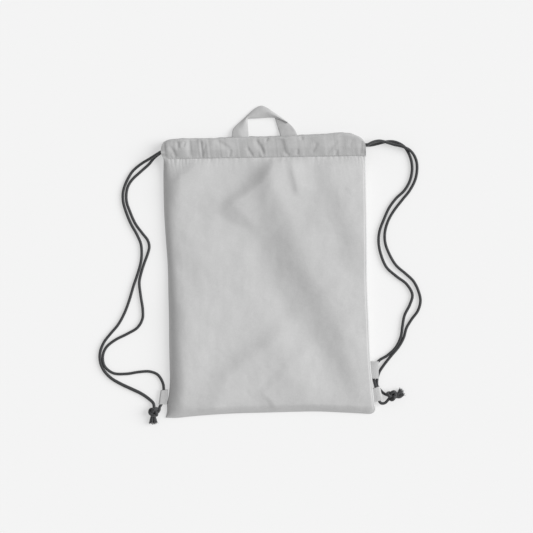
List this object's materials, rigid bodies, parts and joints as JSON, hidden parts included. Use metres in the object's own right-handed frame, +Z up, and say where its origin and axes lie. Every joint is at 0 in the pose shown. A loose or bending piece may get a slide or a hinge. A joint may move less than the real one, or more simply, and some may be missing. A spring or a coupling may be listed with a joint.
{
  "type": "shoe bag",
  "caption": "Flat fabric drawstring bag with a strap handle at its mouth, side tabs, a small side label and knotted cords in a gathered channel.",
  "frame": {"origin": "on the surface the bag lies on, at the middle of the bag's footprint", "axes": "+Y from the bottom seam to the mouth, +Z up through the front panel, +X towards the side with the label"},
  "size_m": [0.465, 0.4574, 0.0172],
  "materials": {
    "fabric": "matte plain weave",
    "channel_fabric": "matte plain weave, doubled",
    "cord": "matte braid",
    "thread": "satin thread",
    "label": "matte woven tape"
  },
  "bodies": {
    "bag": {"back_panel": "fabric", "front_panel": "fabric", "front_channel": "channel_fabric", "back_channel": "channel_fabric", "left_cord_front_strand": "cord", "left_cord_back_strand": "cord", "left_cord_front_run": "cord", "left_cord_back_run": "cord", "right_cord_front_strand": "cord", "right_cord_back_strand": "cord", "right_cord_front_run": "cord", "right_cord_back_run": "cord", "seam_thread": "thread", "hem_thread": "thread"},
    "mouth_left": {"front_channel_end_left": "channel_fabric", "back_channel_end_left": "channel_fabric", "right_cord_turn": "cord"},
    "mouth_right": {"front_channel_end_right": "channel_fabric", "back_channel_end_right": "channel_fabric", "left_cord_turn": "cord"},
    "handle": {"handle": "channel_fabric"},
    "side_label": {"side_label": "label"},
    "left_tab": {"left_tab": "channel_fabric", "left_knot": "cord", "left_cord_end_a": "cord", "left_cord_end_b": "cord"},
    "right_tab": {"right_tab": "channel_fabric", "right_knot": "cord", "right_cord_end_a": "cord", "right_cord_end_b": "cord"}
  },
  "joints": [
    {"name": "mouth_left_gather", "type": "slide", "parent": "bag", "child": "mouth_left", "axis": [0.9999, 0.017, 0], "range_m": [0, 0.045], "deforming": ["front_channel", "back_channel", "left_cord_front_run", "left_cord_back_run", "right_cord_front_run", "right_cord_back_run"]},
    {"name": "mouth_right_gather", "type": "slide", "parent": "bag", "child": "mouth_right", "axis": [-0.9999, -0.017, 0], "range_m": [0, 0.045], "deforming": ["front_channel", "back_channel", "left_cord_front_run", "left_cord_back_run", "right_cord_front_run", "right_cord_back_run"]},
    {"name": "handle_lift", "type": "hinge", "parent": "bag", "child": "handle", "pos_m": [-0.005, 0.2026, 0.0034], "axis": [1, 0, 0], "range_deg": [0, 90]},
    {"name": "label_flip", "type": "hinge", "parent": "bag", "child": "side_label", "pos_m": [0.1484, -0.1348, 0.0048], "axis": [0, -1, 0], "range_deg": [0, 110]},
    {"name": "left_tab_lift", "type": "hinge", "parent": "bag", "child": "left_tab", "pos_m": [-0.1454, -0.1742, 0.0032], "axis": [0.0719, 0.9974, 0], "range_deg": [0, 60], "deforming": ["left_cord_front_strand", "left_cord_back_strand"]},
    {"name": "right_tab_lift", "type": "hinge", "parent": "bag", "child": "right_tab", "pos_m": [0.1528, -0.1704, 0.0073], "axis": [0.1393, -0.9902, 0], "range_deg": [0, 60], "deforming": ["right_cord_front_strand", "right_cord_back_strand"]}
  ]
}
